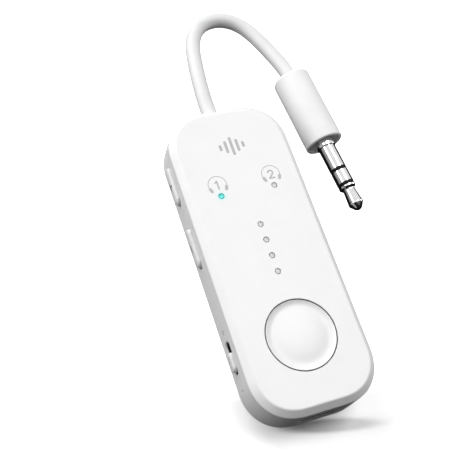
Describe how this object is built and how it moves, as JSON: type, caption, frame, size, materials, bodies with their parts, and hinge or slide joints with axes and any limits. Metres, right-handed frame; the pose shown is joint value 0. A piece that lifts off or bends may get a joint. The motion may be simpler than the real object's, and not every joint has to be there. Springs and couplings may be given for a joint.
{
  "type": "bluetooth audio receiver",
  "caption": "Slim rounded slab with a large round front button, side volume keys, a power slider, a USB-C socket and a short captive cord ending in a 3.5 mm stereo plug.",
  "frame": {"origin": "middle of the flat rear face, where the unit lies on a surface", "axes": "+X across the width with the volume keys on the -X side, +Y towards the end the cord leaves, +Z out of the face with the round button"},
  "size_m": [0.0382, 0.0887, 0.0102],
  "materials": {
    "rear_shell": "satin white moulded",
    "front_cover": "satin white moulded",
    "main_button": "satin white moulded",
    "main_switch_body": "stamped",
    "main_switch_plunger": "black",
    "light_baffle": "black",
    "main_board": "green solder mask",
    "board_screw_1": "plain",
    "board_screw_2": "plain",
    "shield_can": "tinned",
    "bluetooth_chip": "black",
    "crystal": "plain",
    "audio_chip": "black",
    "charging_chip": "black",
    "power_inductor": "ferrite",
    "antenna": "ceramic",
    "battery_cell": "foil pouch",
    "battery_tape": "foam",
    "battery_protection_board": "green solder mask",
    "battery_lead_red": "insulation",
    "battery_lead_black": "insulation",
    "usb_c_shell": "plain",
    "usb_c_tongue": "black",
    "power_slider": "satin white moulded",
    "power_switch_body": "stamped",
    "power_switch_actuator": "black",
    "cord_gland": "white elastomer",
    "audio_cord": "white elastomer jacket",
    "audio_wire_left": "insulation",
    "audio_wire_right": "insulation",
    "audio_wire_ground": "insulation",
    "plug_overmold": "white elastomer",
    "plug_sleeve": "polished",
    "plug_ring": "polished",
    "plug_tip": "polished",
    "plug_insulator_rear": "black",
    "plug_insulator_front": "black",
    "battery_light_pipe_1": "unlit frosted",
    "battery_led_1": "package",
    "battery_light_pipe_2": "unlit frosted",
    "battery_led_2": "package",
    "battery_light_pipe_3": "unlit frosted",
    "battery_led_3": "package",
    "battery_light_pipe_4": "unlit frosted",
    "battery_led_4": "package",
    "channel_light_pipe_1": "lit frosted",
    "channel_light_pipe_2": "unlit frosted",
    "channel_led_1": "package",
    "channel_led_2": "package",
    "volume_up_button": "satin white moulded",
    "volume_up_switch": "stamped",
    "volume_up_plunger": "black",
    "volume_down_button": "satin white moulded",
    "volume_down_switch": "stamped",
    "volume_down_plunger": "black"
  },
  "bodies": {
    "unit": {"rear_shell": "rear_shell", "front_cover": "front_cover", "main_switch_body": "main_switch_body", "light_baffle": "light_baffle", "main_board": "main_board", "board_screw_1": "board_screw_1", "board_screw_2": "board_screw_2", "shield_can": "shield_can", "bluetooth_chip": "bluetooth_chip", "crystal": "crystal", "audio_chip": "audio_chip", "charging_chip": "charging_chip", "power_inductor": "power_inductor", "antenna": "antenna", "battery_cell": "battery_cell", "battery_tape": "battery_tape", "battery_protection_board": "battery_protection_board", "battery_lead_red": "battery_lead_red", "battery_lead_black": "battery_lead_black", "usb_c_shell": "usb_c_shell", "usb_c_tongue": "usb_c_tongue", "power_switch_body": "power_switch_body", "cord_gland": "cord_gland", "audio_cord": "audio_cord", "audio_wire_left": "audio_wire_left", "audio_wire_right": "audio_wire_right", "audio_wire_ground": "audio_wire_ground", "plug_overmold": "plug_overmold", "plug_sleeve": "plug_sleeve", "plug_ring": "plug_ring", "plug_tip": "plug_tip", "plug_insulator_rear": "plug_insulator_rear", "plug_insulator_front": "plug_insulator_front", "battery_light_pipe_1": "battery_light_pipe_1", "battery_led_1": "battery_led_1", "battery_light_pipe_2": "battery_light_pipe_2", "battery_led_2": "battery_led_2", "battery_light_pipe_3": "battery_light_pipe_3", "battery_led_3": "battery_led_3", "battery_light_pipe_4": "battery_light_pipe_4", "battery_led_4": "battery_led_4", "channel_light_pipe_1": "channel_light_pipe_1", "channel_light_pipe_2": "channel_light_pipe_2", "channel_led_1": "channel_led_1", "channel_led_2": "channel_led_2", "volume_up_switch": "volume_up_switch", "volume_down_switch": "volume_down_switch"},
    "main_key": {"main_button": "main_button", "main_switch_plunger": "main_switch_plunger"},
    "volume_up_key": {"volume_up_button": "volume_up_button", "volume_up_plunger": "volume_up_plunger"},
    "volume_down_key": {"volume_down_button": "volume_down_button", "volume_down_plunger": "volume_down_plunger"},
    "power_knob": {"power_slider": "power_slider", "power_switch_actuator": "power_switch_actuator"}
  },
  "joints": [
    {"name": "main_button_press", "type": "slide", "parent": "unit", "child": "main_key", "axis": [0, 0, -1], "range_m": [0, 0.0003], "stiffness_N_per_m": 400, "springref_m": -0.002},
    {"name": "volume_up_press", "type": "slide", "parent": "unit", "child": "volume_up_key", "axis": [1, 0, 0], "range_m": [0, 0.0003], "stiffness_N_per_m": 400, "springref_m": -0.002},
    {"name": "volume_down_press", "type": "slide", "parent": "unit", "child": "volume_down_key", "axis": [1, 0, 0], "range_m": [0, 0.0003], "stiffness_N_per_m": 400, "springref_m": -0.002},
    {"name": "power_slide", "type": "slide", "parent": "unit", "child": "power_knob", "axis": [0, 1, 0], "range_m": [0, 0.0017]}
  ]
}
